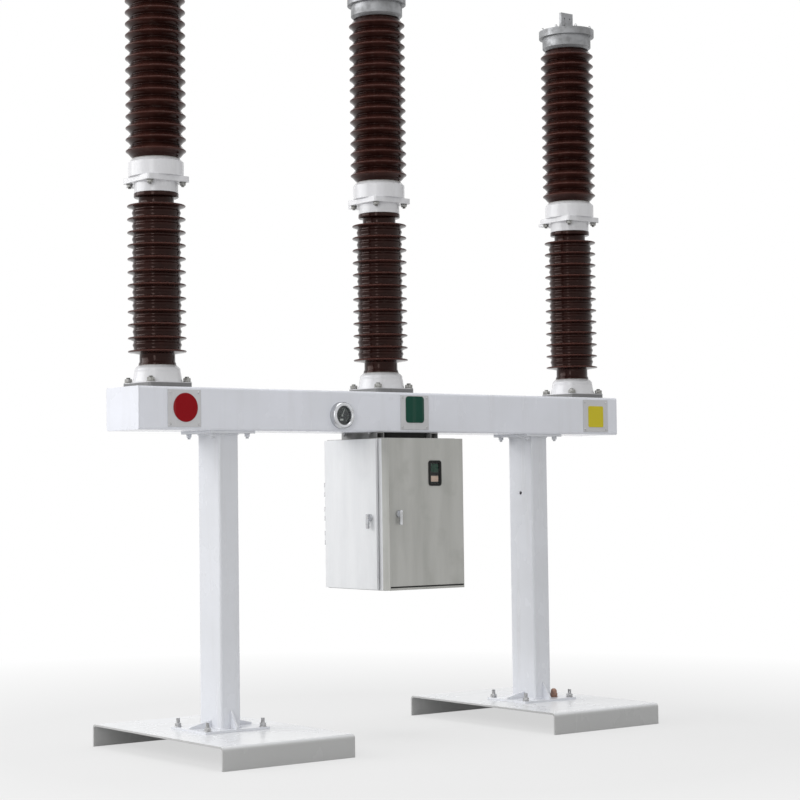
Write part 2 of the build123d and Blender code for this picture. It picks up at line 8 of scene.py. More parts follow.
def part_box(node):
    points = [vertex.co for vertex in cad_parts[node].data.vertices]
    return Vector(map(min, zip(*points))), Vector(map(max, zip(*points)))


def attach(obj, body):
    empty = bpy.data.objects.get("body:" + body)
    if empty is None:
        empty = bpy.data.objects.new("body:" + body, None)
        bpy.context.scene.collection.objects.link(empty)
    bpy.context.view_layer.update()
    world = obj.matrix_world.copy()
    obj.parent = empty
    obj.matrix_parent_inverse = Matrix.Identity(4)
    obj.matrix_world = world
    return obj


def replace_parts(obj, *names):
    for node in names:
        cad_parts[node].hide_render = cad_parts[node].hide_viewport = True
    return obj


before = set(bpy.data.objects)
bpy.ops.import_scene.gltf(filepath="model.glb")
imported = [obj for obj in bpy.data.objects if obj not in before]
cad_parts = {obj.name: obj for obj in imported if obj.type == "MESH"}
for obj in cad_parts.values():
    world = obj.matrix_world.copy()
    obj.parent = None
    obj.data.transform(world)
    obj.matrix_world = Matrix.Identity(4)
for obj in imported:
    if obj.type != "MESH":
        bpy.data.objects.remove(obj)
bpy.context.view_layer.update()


# Feet: two steel plates, each bent down along its front and back edge so that it stands clear of the ground.
# Galvanised and primed, sprayed glossy pale grey, streaked by rain and flecked by splashes; the sides carry painted
# shade, darker than the top.

def new_group(name, inputs, outputs):
    """An empty shader node group with the named sockets, and its first and last node."""
    group = bpy.data.node_groups.new(name, "ShaderNodeTree")
    for label, kind, value in inputs:
        group.interface.new_socket(label, in_out="INPUT", socket_type=kind).default_value = value
    for label, kind in outputs:
        group.interface.new_socket(label, in_out="OUTPUT", socket_type=kind)
    return group, group.nodes.new("NodeGroupInput"), group.nodes.new("NodeGroupOutput")


def stretched_noise(group, stretch, scale, detail):
    """Noise over the piece's own coordinates, drawn out along the axes that have a small stretch value."""
    place = group.nodes.new("ShaderNodeTexCoord")
    mapping = group.nodes.new("ShaderNodeMapping")
    mapping.inputs["Scale"].default_value = stretch
    noise = group.nodes.new("ShaderNodeTexNoise")
    noise.inputs["Scale"].default_value = scale
    noise.inputs["Detail"].default_value = detail
    group.links.new(place.outputs["Object"], mapping.inputs["Vector"])
    group.links.new(mapping.outputs["Vector"], noise.inputs["Vector"])
    return noise.outputs["Fac"]


def remap(group, value, low, high, bottom=0.0, top=1.0):
    """The value spread from the range low to high over the range bottom to top, and held inside that."""
    node = group.nodes.new("ShaderNodeMapRange")
    for socket, number in zip(node.inputs[1:5], (low, high, bottom, top)):
        socket.default_value = number
    group.links.new(value, node.inputs["Value"])
    return node.outputs["Result"]


def combine(group, operation, first, second):
    """Two values put through one sum; either may be a plain number."""
    node = group.nodes.new("ShaderNodeMath")
    node.operation = operation
    for socket, value in zip(node.inputs, (first, second)):
        if isinstance(value, (int, float)):
            socket.default_value = value
        else:
            group.links.new(value, socket)
    return node.outputs["Value"]


def tint(group, share, first, second, blend="MIX"):
    """Two colours mixed by a share; either may be a fixed colour."""
    node = group.nodes.new("ShaderNodeMix")
    node.data_type = "RGBA"
    node.blend_type = blend
    for socket, value in ((node.inputs[0], share), (node.inputs[6], first), (node.inputs[7], second)):
        if isinstance(value, (int, float, tuple)):
            socket.default_value = value
        else:
            group.links.new(value, socket)
    return node.outputs[2]


def edge_parts(group, radius):
    """A normal that rounds the sharp edges over a small radius, and how far each point is turned by it."""
    bevel = group.nodes.new("ShaderNodeBevel")
    bevel.samples = 6
    bevel.inputs["Radius"].default_value = radius
    surface = group.nodes.new("ShaderNodeNewGeometry")
    turn = group.nodes.new("ShaderNodeVectorMath")
    turn.operation = "DOT_PRODUCT"
    group.links.new(bevel.outputs["Normal"], turn.inputs[0])
    group.links.new(surface.outputs["Normal"], turn.inputs[1])
    return bevel.outputs["Normal"], remap(group, turn.outputs["Value"], 0.98, 0.72)


paint_film, film_in, film_out = new_group(
    "paint_film",
    [("Colour", "NodeSocketColor", (0.7, 0.7, 0.72, 1.0)), ("Soil", "NodeSocketColor", (0.36, 0.35, 0.32, 1.0)),
     ("Soil Amount", "NodeSocketFloat", 0.3)],
    [("Colour", "NodeSocketColor"), ("Roughness", "NodeSocketFloat"), ("Height", "NodeSocketFloat"),
     ("Normal", "NodeSocketVector")])
dull_patch, bright_patch = (0.955, 0.955, 0.95, 1.0), (1.03, 1.03, 1.035, 1.0)
thin_edge, thin_edge_share = (0.86, 0.87, 0.88, 1.0), 0.3
speck_share, soil_dulling = 0.16, 0.3
film_normal, film_edge = edge_parts(paint_film, radius=0.004)
film_cloud = remap(paint_film, stretched_noise(paint_film, (1, 1, 1), scale=2.3, detail=4.0), 0.3, 0.7)
film_streak = remap(paint_film, stretched_noise(paint_film, (11, 11, 0.7), scale=1.6, detail=5.0), 0.5, 0.78)
film_speck = remap(paint_film, stretched_noise(paint_film, (1, 1, 1), scale=95.0, detail=3.0), 0.62, 0.74)
film_marks = combine(paint_film, "MAXIMUM", film_streak, combine(paint_film, "MULTIPLY", film_speck, speck_share))
film_soil = combine(paint_film, "MULTIPLY", film_marks, film_in.outputs["Soil Amount"])
film_tone = tint(paint_film, film_cloud, dull_patch, bright_patch)
film_colour = tint(paint_film, 1.0, film_in.outputs["Colour"], film_tone, "MULTIPLY")
film_colour = tint(paint_film, film_soil, film_colour, film_in.outputs["Soil"])
film_colour = tint(paint_film, combine(paint_film, "MULTIPLY", film_edge, thin_edge_share), film_colour, thin_edge)
film_rough = combine(paint_film, "ADD", remap(paint_film, film_cloud, 0.0, 1.0, 0.2, 0.31),
                     combine(paint_film, "MULTIPLY", film_soil, soil_dulling))
film_orange_peel = stretched_noise(paint_film, (1, 1, 1), scale=210.0, detail=2.0)
paint_film.links.new(film_colour, film_out.inputs["Colour"])
paint_film.links.new(film_rough, film_out.inputs["Roughness"])
paint_film.links.new(film_orange_peel, film_out.inputs["Height"])
paint_film.links.new(film_normal, film_out.inputs["Normal"])


def textured(name, group, bump, **values):
    """A material whose colour, roughness and bump come from a node group, set with this finish's own values."""
    finish = bpy.data.materials.new(name)
    finish.use_nodes = True
    tree = finish.node_tree
    shader = tree.nodes["Principled BSDF"]
    source = tree.nodes.new("ShaderNodeGroup")
    source.node_tree = group
    for label, value in values.items():
        source.inputs[label.replace("_", " ").title()].default_value = value
    relief = tree.nodes.new("ShaderNodeBump")
    relief.inputs["Strength"].default_value = 1.0
    relief.inputs["Distance"].default_value = bump
    tree.links.new(source.outputs["Colour"], shader.inputs["Base Color"])
    tree.links.new(source.outputs["Roughness"], shader.inputs["Roughness"])
    tree.links.new(source.outputs["Height"], relief.inputs["Height"])
    if "Normal" in source.outputs:
        tree.links.new(source.outputs["Normal"], relief.inputs["Normal"])
    tree.links.new(relief.outputs["Normal"], shader.inputs["Normal"])
    return finish, shader


def upward_part(tree, vector):
    """How far a vector points or lies upward."""
    split = tree.nodes.new("ShaderNodeSeparateXYZ")
    tree.links.new(vector, split.inputs["Vector"])
    return split.outputs["Z"]


def overlay(tree, shader, share, colour):
    """Lay a second colour over a finish's own colour, as far as the share says at each point."""
    coat = shader.inputs["Base Color"].links[0].from_socket
    tree.links.new(tint(tree, share, coat, colour), shader.inputs["Base Color"])


def dress(finish, *names):
    """Give CAD nodes a finish through their material slots."""
    for name in names:
        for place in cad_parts[name].material_slots:
            place.material = finish


foot_paint, foot_shader = textured(
    "foot_paint", paint_film, bump=0.000012, colour=(0.78, 0.79, 0.805, 1.0), soil=(0.5, 0.49, 0.46, 1.0),
    soil_amount=0.1)
foot_shader.inputs["Specular IOR Level"].default_value = 0.35
foot_tree = foot_paint.node_tree
foot_face = foot_tree.nodes.new("ShaderNodeNewGeometry")
# Painted shade: faces that turn away from straight up are darkened towards mid grey, so the sides read shaded and the
# top lit.
foot_sides_painted_shade = remap(foot_tree, upward_part(foot_tree, foot_face.outputs["Normal"]), 0.8, 0.3, 0.0, 0.75)
overlay(foot_tree, foot_shader, foot_sides_painted_shade, (0.48, 0.48, 0.47, 1.0))
dress(foot_paint, "foot_left", "foot_right")


# Leg bases: a square plate with triangular gussets round the leg, all welded and painted with the leg.
# Four galvanised studs with a washer and a nut hold each plate to its foot; the right one has a bronze earth stud.

def add_turned(shape, profile, steps, place):
    """Add a turned form from radius and height points; a radius of zero closes it to a point."""
    rings = []
    for radius, height in profile:
        turns = [2 * pi * k / steps for k in range(steps if radius else 1)]
        rings.append([shape.verts.new(place @ Vector((radius * cos(turn), radius * sin(turn), height)))
                      for turn in turns])
    for low, high in zip(rings, rings[1:]):
        for k in range(steps):
            after = (k + 1) % steps
            corners = dict.fromkeys((low[k % len(low)], low[after % len(low)],
                                     high[after % len(high)], high[k % len(high)]))
            if len(corners) > 2:
                shape.faces.new(list(corners))


def piece(name, shape, finish, body, crease=38):
    """Turn a finished bmesh into a named piece that rides on a body and takes its finish from a slot."""
    bmesh.ops.recalc_face_normals(shape, faces=shape.faces)
    for face in shape.faces:
        face.smooth = True
    mesh = bpy.data.meshes.new(name)
    shape.to_mesh(mesh)
    shape.free()
    mesh.set_sharp_from_angle(angle=radians(crease))
    mesh.materials.append(finish)
    made = bpy.data.objects.new(name, mesh)
    bpy.context.scene.collection.objects.link(made)
    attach(made, body)
    return made


def add_bolt(shape, place, thread, flats, stick_out):
    """Add a washer, its nut and the threaded end of a stud, standing along the place's own Z."""
    corner = flats / 3 ** 0.5
    washer, nut = thread * 0.15, thread * 0.8
    add_turned(shape, [(0, 0), (flats * 0.6, 0), (flats * 0.62, washer * 0.4), (flats * 0.6, washer), (0, washer)],
               28, place)
    level = washer + nut
    add_turned(shape, [(0, washer), (corner * 0.9, washer), (corner, washer + nut * 0.12),
                       (corner, washer + nut * 0.86), (corner * 0.88, level), (0, level)], 6, place)
    rounds = max(2, int((stick_out - level) / (thread * 0.125)))
    pitch = (stick_out - level) / rounds
    profile = [(0, level), (thread * 0.5, level)]
    for turn in range(rounds):
        profile += [(thread * 0.43, level + pitch * (turn + 0.5)), (thread * 0.5, level + pitch * (turn + 0.9))]
    add_turned(shape, profile + [(thread * 0.38, stick_out), (0, stick_out)], 20, place)


def add_corner_bolts(shape, middle, right, back, thread, flats, stick_out, hanging=False):
    """Add four bolts at the corners of a rectangle round the middle, upright or hanging down."""
    turn = Matrix.Rotation(pi if hanging else 0.0, 4, "X")
    for x in (-right, right):
        for y in (-back, back):
            place = Matrix.Translation((middle[0] + x, middle[1] + y, middle[2])) @ turn
            add_bolt(shape, place, thread, flats, stick_out)


def add_bead(shape, width, depth, corner, radius, place, arc=5, sides=8):
    """Add a round bead that runs along a rounded rectangle."""
    rings = []
    for right, back, start in ((1, 1, 0), (-1, 1, 90), (-1, -1, 180), (1, -1, 270)):
        for step in range(arc + 1):
            turn = radians(start + 90 * step / arc)
            out = Vector((cos(turn), sin(turn), 0))
            middle = Vector((right * (width / 2 - corner), back * (depth / 2 - corner), 0)) + out * corner
            rings.append([shape.verts.new(place @ (middle + out * radius * cos(2 * pi * k / sides)
                                                   + Vector((0, 0, radius * sin(2 * pi * k / sides)))))
                          for k in range(sides)])
    for ring, after in zip(rings, rings[1:] + rings[:1]):
        for k in range(sides):
            shape.faces.new((ring[k], ring[(k + 1) % sides], after[(k + 1) % sides], after[k]))


metal_skin, skin_in, skin_out = new_group(
    "metal_skin",
    [("Colour", "NodeSocketColor", (0.6, 0.6, 0.6, 1.0)), ("Tarnish", "NodeSocketColor", (0.3, 0.3, 0.3, 1.0)),
     ("Tarnish Amount", "NodeSocketFloat", 0.4), ("Grain", "NodeSocketFloat", 60.0),
     ("Polish", "NodeSocketFloat", 0.3)],
    [("Colour", "NodeSocketColor"), ("Roughness", "NodeSocketFloat"), ("Height", "NodeSocketFloat")])
tarnish_dulling = 0.35
skin_place = metal_skin.nodes.new("ShaderNodeTexCoord")
skin_noise = metal_skin.nodes.new("ShaderNodeTexNoise")
skin_noise.inputs["Detail"].default_value = 5.0
metal_skin.links.new(skin_place.outputs["Object"], skin_noise.inputs["Vector"])
metal_skin.links.new(skin_in.outputs["Grain"], skin_noise.inputs["Scale"])
skin_mask = combine(metal_skin, "MULTIPLY", remap(metal_skin, skin_noise.outputs["Fac"], 0.42, 0.68),
                    skin_in.outputs["Tarnish Amount"])
skin_colour = tint(metal_skin, skin_mask, skin_in.outputs["Colour"], skin_in.outputs["Tarnish"])
skin_rough = combine(metal_skin, "ADD", skin_in.outputs["Polish"],
                     combine(metal_skin, "MULTIPLY", skin_mask, tarnish_dulling))
skin_pits = stretched_noise(metal_skin, (1, 1, 1), scale=380.0, detail=3.0)
metal_skin.links.new(skin_colour, skin_out.inputs["Colour"])
metal_skin.links.new(skin_rough, skin_out.inputs["Roughness"])
metal_skin.links.new(skin_pits, skin_out.inputs["Height"])

galvanised, galvanised_shader = textured(
    "galvanised_bolts", metal_skin, bump=0.00012, colour=(0.52, 0.52, 0.53, 1.0), tarnish=(0.30, 0.30, 0.29, 1.0),
    tarnish_amount=0.7, grain=70.0, polish=0.33)
galvanised_shader.inputs["Metallic"].default_value = 0.85
structure_paint, structure_shader = textured(
    "structure_paint", paint_film, bump=0.00006, colour=(0.775, 0.79, 0.83, 1.0), soil=(0.5, 0.49, 0.46, 1.0),
    soil_amount=0.2)
structure_shader.inputs["Coat Weight"].default_value = 0.3
dress(structure_paint, "leg_base_left", "leg_base_right")


def weld_leg(name, x, level):
    """A weld bead round a leg tube at one of its ends, painted with it."""
    seam = bmesh.new()
    add_bead(seam, width=0.146, depth=0.236, corner=0.017, radius=0.006, place=Matrix.Translation((x, 0, level)))
    piece(name, seam, structure_paint, "frame")


leg_places = {"left": -1.271, "right": 1.271}
weld_rise = 0.002
for side, x in leg_places.items():
    base_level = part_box(f"leg_{side}")[0].z
    anchors = bmesh.new()
    add_corner_bolts(anchors, (x, 0, base_level), right=0.2, back=0.16, thread=0.024, flats=0.037, stick_out=0.052)
    piece(f"anchor_bolts_{side}", anchors, galvanised, "frame")
    weld_leg(f"leg_foot_weld_{side}", x, base_level + weld_rise)

bronze, bronze_shader = textured(
    "brown_bronze", metal_skin, bump=0.0002, colour=(0.34, 0.20, 0.15, 1.0), tarnish=(0.21, 0.145, 0.12, 1.0),
    tarnish_amount=0.8, grain=60.0, polish=0.4)
bronze_shader.inputs["Metallic"].default_value = 0.6
earth_washer = [(0, 0), (0.024, 0), (0.026, 0.0015), (0.026, 0.004), (0.024, 0.0055), (0, 0.0055)]
earth_nut = [(0, 0.0055), (0.0225, 0.0055), (0.025, 0.008), (0.025, 0.026), (0.0225, 0.0285), (0, 0.0285)]
earth_dome = [(0, 0.0285), (0.0195, 0.0285), (0.0205, 0.032), (0.0202, 0.042), (0.0172, 0.0505),
              (0.0118, 0.0555), (0.006, 0.0578), (0, 0.0584)]
earth_place = Matrix.Translation((leg_places["right"] + 0.121, -0.09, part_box("leg_right")[0].z))
earth = bmesh.new()
for outline, steps in ((earth_washer, 32), (earth_nut, 6), (earth_dome, 32)):
    add_turned(earth, outline, steps, earth_place)
piece("earth_stud", earth, bronze, "frame")


# Legs: rectangular steel tubes, welded to the base below and to a head plate above.
# The head plate is bolted up to the beam at its four corners; plate, bolts and tube have the same paint.

dress(structure_paint, "leg_left", "leg_right", "leg_head_left", "leg_head_right")
for side, x in leg_places.items():
    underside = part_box(f"leg_head_{side}")[0].z
    heads = bmesh.new()
    add_corner_bolts(heads, (x, 0, underside), right=0.125, back=0.13, thread=0.02, flats=0.03, stick_out=0.03,
                     hanging=True)
    piece(f"head_bolts_{side}", heads, structure_paint, "frame")
    weld_leg(f"leg_head_weld_{side}", x, underside - weld_rise)


# Beam: a long welded box that carries the poles and holds the drive rods, closed by a plate on each end.
# Its front is one long sheet, and its gloss paint is a little bluer and cleaner than the paint on the feet.

beam_paint, beam_shader = textured(
    "beam_paint", paint_film, bump=0.00005, colour=(0.85, 0.868, 0.93, 1.0), soil=(0.6, 0.6, 0.6, 1.0),
    soil_amount=0.16)
beam_shader.inputs["Coat Weight"].default_value = 0.3
dress(beam_paint, "beam", "beam_end_left", "beam_end_right")


# Phase plates: thin painted sheets screwed to the front of the beam beside each pole.
# Each carries a plain enamel mark in its phase colour, a red disc, a green panel and a yellow square.

def add_slab(shape, width, height, thickness, corner, edge, place, arc=6):
    """Add a flat slab with rounded corners and a softened top edge, standing along the place's own Z."""
    rings = []
    for inset, level in ((0, 0), (0, thickness - edge), (edge, thickness)):
        ring = []
        for right, up, start in ((1, 1, 0), (-1, 1, 90), (-1, -1, 180), (1, -1, 270)):
            for step in range(arc + 1):
                turn = radians(start + 90 * step / arc)
                x = right * (width / 2 - corner) + (corner - inset) * cos(turn)
                y = up * (height / 2 - corner) + (corner - inset) * sin(turn)
                ring.append(shape.verts.new(place @ Vector((x, y, level))))
        rings.append(ring)
    for low, high in zip(rings, rings[1:]):
        for k in range(len(low)):
            after = (k + 1) % len(low)
            shape.faces.new((low[k], low[after], high[after], high[k]))
    shape.faces.new(rings[0][::-1])
    shape.faces.new(rings[-1])


def facing_front(x, y, z):
    """A place on a front face, with its own Z pointing out of that face."""
    return Matrix.Translation((x, y, z)) @ Matrix.Rotation(pi / 2, 4, "X")


plate_paint, _ = textured(
    "phase_plate_paint", paint_film, bump=0.00006, colour=(0.66, 0.66, 0.675, 1.0), soil=(0.46, 0.45, 0.44, 1.0),
    soil_amount=0.25)
dress(plate_paint, "phase_plate_left", "phase_plate_middle", "phase_plate_right")
marks = {
    "left": dict(x=-1.624, z=2.062, width=0.172, height=0.172, corner=0.0855, arc=24,
                 colour=(0.30, 0.0075, 0.012, 1.0)),
    "middle": dict(x=0.124, z=2.076, width=0.152, height=0.17, corner=0.022, arc=6,
                   colour=(0.016, 0.075, 0.052, 1.0)),
    "right": dict(x=1.737, z=2.052, width=0.143, height=0.145, corner=0.012, arc=6,
                  colour=(0.72, 0.61, 0.043, 1.0))}
enamel_gloss = 0.06
screw_inset = 0.016
screw_head = [(0, 0), (0.0075, 0), (0.0072, 0.0018), (0.0055, 0.0034), (0.0025, 0.0042), (0, 0.0034)]
for side, mark in marks.items():
    low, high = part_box(f"phase_plate_{side}")
    enamel, enamel_shader = textured(
        f"{side}_phase_enamel", paint_film, bump=0.00004, colour=mark["colour"], soil=(0.5, 0.48, 0.45, 1.0),
        soil_amount=0.1)
    enamel_shader.inputs["Specular IOR Level"].default_value = enamel_gloss
    panel = bmesh.new()
    add_slab(panel, mark["width"], mark["height"], thickness=0.002, corner=mark["corner"], edge=0.0006,
             place=facing_front(mark["x"], low.y, mark["z"]), arc=mark["arc"])
    piece(f"phase_mark_{side}", panel, enamel, "frame")
    screws = bmesh.new()
    for x in (low.x + screw_inset, high.x - screw_inset):
        for z in (low.z + screw_inset, high.z - screw_inset):
            add_turned(screws, screw_head, 20, facing_front(x, low.y, z))
    piece(f"phase_screws_{side}", screws, galvanised, "frame")


# Gas gauge: a round density gauge on the front of the beam that shows the filling pressure.
# Chromed bezel turned from brass, a black dial behind glass with a plain scale and one pointer.

gauge_place = facing_front(-0.47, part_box("gauge_housing")[1].y, 2.03)
smooth_turn = 96
chrome, chrome_shader = textured(
    "chromed_bezel", metal_skin, bump=0.00002, colour=(0.56, 0.57, 0.59, 1.0), tarnish=(0.36, 0.36, 0.36, 1.0),
    tarnish_amount=0.5, grain=24.0, polish=0.12)
chrome_shader.inputs["Metallic"].default_value = 1.0
bezel = bmesh.new()
add_turned(bezel, [(0, 0), (0.084, 0), (0.084, 0.024), (0.0825, 0.0262), (0.0825, 0.03), (0.0812, 0.0355),
                   (0.0775, 0.0398), (0.0722, 0.0418), (0.0675, 0.042), (0.061, 0.0408), (0.0572, 0.0365),
                   (0.056, 0.031), (0.056, 0.011), (0, 0.011)], smooth_turn, gauge_place)
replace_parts(piece("gauge_bezel", bezel, chrome, "frame"), "gauge_housing")

dial_face = 0.0128
dial_black, _ = textured(
    "dial_black", metal_skin, bump=0.00003, colour=(0.045, 0.048, 0.05, 1.0), tarnish=(0.09, 0.092, 0.095, 1.0),
    tarnish_amount=0.5, grain=30.0, polish=0.45)
dial = bmesh.new()
add_turned(dial, [(0, 0.0112), (0.0555, 0.0112), (0.0555, 0.0122), (0.0545, dial_face), (0, dial_face)], 72,
           gauge_place)
piece("gauge_dial", dial, dial_black, "frame")
dial_white, _ = textured(
    "dial_white", metal_skin, bump=0.00003, colour=(0.62, 0.63, 0.62, 1.0), tarnish=(0.45, 0.45, 0.42, 1.0),
    tarnish_amount=0.4, grain=40.0, polish=0.5)
scale = bmesh.new()
scale_start, scale_step, scale_reach = 225, 11.25, 0.0495
for step in range(25):
    swing = gauge_place @ Matrix.Rotation(radians(scale_start - step * scale_step), 4, "Z")
    long = 0.0085 if step % 4 == 0 else 0.0048
    add_slab(scale, long, 0.0016, thickness=0.0005, corner=0.0006, edge=0.0002,
             place=swing @ Matrix.Translation((scale_reach - long / 2, 0, dial_face)), arc=2)
add_slab(scale, 0.024, 0.011, thickness=0.0005, corner=0.002, edge=0.0002,
         place=gauge_place @ Matrix.Translation((-0.004, -0.026, dial_face)), arc=3)
piece("gauge_scale", scale, dial_white, "frame")
pointer = bmesh.new()
swing = gauge_place @ Matrix.Rotation(radians(64), 4, "Z")
add_slab(pointer, 0.052, 0.0034, thickness=0.0009, corner=0.0012, edge=0.0002,
         place=swing @ Matrix.Translation((0.017, 0, 0.0145)), arc=3)
add_turned(pointer, [(0, dial_face), (0.0056, dial_face), (0.0056, 0.0155), (0.0042, 0.0166), (0, 0.0166)], 24,
           gauge_place)
piece("gauge_pointer", pointer, dial_white, "frame")

clear_glass = bpy.data.materials.new("clear_glass_pane")
clear_glass.use_nodes = True
glass_tree = clear_glass.node_tree
glass_shader = glass_tree.nodes["Principled BSDF"]
glass_shader.inputs["Base Color"].default_value = (0.93, 0.96, 0.95, 1.0)
glass_shader.inputs["Transmission Weight"].default_value = 1.0
glass_shader.inputs["IOR"].default_value = 1.45
glass_shader.inputs["Specular Tint"].default_value = (0.25, 0.25, 0.25, 1.0)
glass_wipe = glass_tree.nodes.new("ShaderNodeTexNoise")
glass_wipe.inputs["Scale"].default_value = 38.0
glass_smear = remap(glass_tree, glass_wipe.outputs["Fac"], 0.35, 0.75, 0.02, 0.14)
glass_tree.links.new(glass_smear, glass_shader.inputs["Roughness"])
lens = bmesh.new()
add_turned(lens, [(0, 0.0185), (0.0557, 0.0185), (0.0557, 0.0205), (0.05, 0.0214), (0.03, 0.022), (0, 0.0222)], 72,
           gauge_place)
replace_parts(piece("gauge_lens", lens, clear_glass, "frame"), "gauge_glass")


# Cabinet hangers: two channel rails of dull grey steel that hold the mechanism cabinet up against the beam.
# A bolt goes up into the beam at each end; between the rails a black rubber boot seals the drive's way in, its black
# also painted shade.

hanger_steel, hanger_shader = textured(
    "hanger_steel", metal_skin, bump=0.00012, colour=(0.30, 0.30, 0.30, 1.0), tarnish=(0.19, 0.19, 0.18, 1.0),
    tarnish_amount=0.7, grain=14.0, polish=0.45)
hanger_shader.inputs["Metallic"].default_value = 0.4
dress(hanger_steel, "cabinet_hangers")
hanger_low, hanger_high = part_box("cabinet_hangers")
hanger_middle, hanger_half = (hanger_low.x + hanger_high.x) / 2, (hanger_high.x - hanger_low.x) / 2
hanger_bolts = bmesh.new()
add_corner_bolts(hanger_bolts, (hanger_middle, 0, hanger_high.z), right=hanger_half + 0.016, back=0.13,
                 thread=0.012, flats=0.019, stick_out=0.02, hanging=True)
piece("hanger_bolts", hanger_bolts, galvanised, "frame")
black_rubber, rubber_shader = textured(
    "black_rubber", metal_skin, bump=0.0002, colour=(0.010, 0.010, 0.010, 1.0), tarnish=(0.028, 0.028, 0.026, 1.0),
    tarnish_amount=0.6, grain=45.0, polish=0.55)
rubber_shader.inputs["Specular IOR Level"].default_value = 0.2
boot_folds, boot_gap = 3, 0.0005
fold_height = (hanger_high.z - hanger_low.z - 2 * boot_gap) / boot_folds
# The boot's black also stands in as painted shade for the shaded gap between the beam and the cabinet.
boot = bmesh.new()
for fold in range(boot_folds):
    level = hanger_low.z + boot_gap + fold * fold_height
    add_slab(boot, 0.34, 0.33, fold_height, corner=0.03, edge=0.005, place=Matrix.Translation((0.0725, 0, level)))
piece("drive_boot_painted_shade", boot, black_rubber, "frame")


# Cabinet: a folded sheet-steel box with a frame round each door opening and a rubber seal on each frame.
# Dull satin sheet that hands and rain have smudged in upright bands; the frames and side door get a paler copy of it
# as painted light.

satin_sheet, sheet_in, sheet_out = new_group(
    "satin_sheet",
    [("Colour", "NodeSocketColor", (0.36, 0.36, 0.34, 1.0)), ("Smudge", "NodeSocketColor", (0.28, 0.28, 0.26, 1.0)),
     ("Smudge Amount", "NodeSocketFloat", 0.5)],
    [("Colour", "NodeSocketColor"), ("Roughness", "NodeSocketFloat"), ("Height", "NodeSocketFloat"),
     ("Normal", "NodeSocketVector")])
brushed_line, bare_edge, bare_edge_share = (0.6, 0.6, 0.58, 1.0), (0.62, 0.62, 0.61, 1.0), 0.3
sheet_normal, sheet_edge = edge_parts(satin_sheet, radius=0.003)
sheet_band = remap(satin_sheet, stretched_noise(satin_sheet, (6, 6, 0.9), scale=1.5, detail=4.0), 0.38, 0.68)
sheet_brush = stretched_noise(satin_sheet, (160, 160, 3), scale=3.0, detail=3.0)
sheet_blot = remap(satin_sheet, stretched_noise(satin_sheet, (1, 1, 1), scale=7.0, detail=3.0), 0.56, 0.72, 0.0, 0.55)
sheet_mask = combine(satin_sheet, "MULTIPLY", sheet_band, sheet_in.outputs["Smudge Amount"])
sheet_spots = combine(satin_sheet, "MULTIPLY", sheet_blot, sheet_in.outputs["Smudge Amount"])
sheet_wear = combine(satin_sheet, "MULTIPLY", sheet_edge, bare_edge_share)
sheet_colour = tint(satin_sheet, sheet_mask, sheet_in.outputs["Colour"], sheet_in.outputs["Smudge"])
sheet_colour = tint(satin_sheet, remap(satin_sheet, sheet_brush, 0.3, 0.7, 0.0, 0.16), sheet_colour, brushed_line)
sheet_colour = tint(satin_sheet, sheet_spots, sheet_colour, sheet_in.outputs["Smudge"])
sheet_colour = tint(satin_sheet, sheet_wear, sheet_colour, bare_edge)
satin_sheet.links.new(sheet_colour, sheet_out.inputs["Colour"])
satin_sheet.links.new(remap(satin_sheet, sheet_band, 0.0, 1.0, 0.34, 0.46), sheet_out.inputs["Roughness"])
satin_sheet.links.new(sheet_brush, sheet_out.inputs["Height"])
satin_sheet.links.new(sheet_normal, sheet_out.inputs["Normal"])


def sheet_steel(name, colour, smudge, smudge_amount):
    """A satin sheet finish with its own tone, half way between bare metal and a dull lacquer."""
    finish, shader = textured(name, satin_sheet, bump=0.00003, colour=colour, smudge=smudge,
                              smudge_amount=smudge_amount)
    shader.inputs["Metallic"].default_value = 0.25
    return finish


def facing_left(x, y, z):
    """A place on a left face, with its own Z pointing out of that face."""
    return Matrix.Translation((x, y, z)) @ Matrix.Rotation(-pi / 2, 4, "Z") @ Matrix.Rotation(pi / 2, 4, "X")


cabinet_steel = sheet_steel("cabinet_steel", (0.50, 0.50, 0.49, 1.0), (0.40, 0.40, 0.385, 1.0), 0.7)
dress(cabinet_steel, "cabinet_shell")
# Painted light: a paler copy of the cabinet sheet for the frames and the side door, so the left side and door edges
# read lit.
painted_light_steel = sheet_steel("sheet_steel_painted_light", (0.84, 0.85, 0.865, 1.0), (0.70, 0.71, 0.73, 1.0), 0.55)
dress(painted_light_steel, "front_frame", "side_frame")

seal_inset, seal_corner, seal_radius, seal_stand = 0.05, 0.02, 0.0021, 0.002
front_low, front_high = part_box("front_frame")
front_size, front_middle = front_high - front_low, (front_low + front_high) / 2
front_seal = bmesh.new()
add_bead(front_seal, front_size.x - seal_inset, front_size.z - seal_inset, seal_corner, seal_radius,
         facing_front(front_middle.x, front_low.y - seal_stand, front_middle.z))
piece("front_door_seal", front_seal, black_rubber, "frame")
side_low, side_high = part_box("side_frame")
side_size, side_middle = side_high - side_low, (side_low + side_high) / 2
side_blank = 0.055
side_seal = bmesh.new()
add_bead(side_seal, side_size.y - seal_inset - side_blank, side_size.z - seal_inset, seal_corner, seal_radius,
         facing_left(side_low.x - seal_stand, side_middle.y + side_blank / 2, side_middle.z))
piece("side_door_seal", side_seal, black_rubber, "frame")
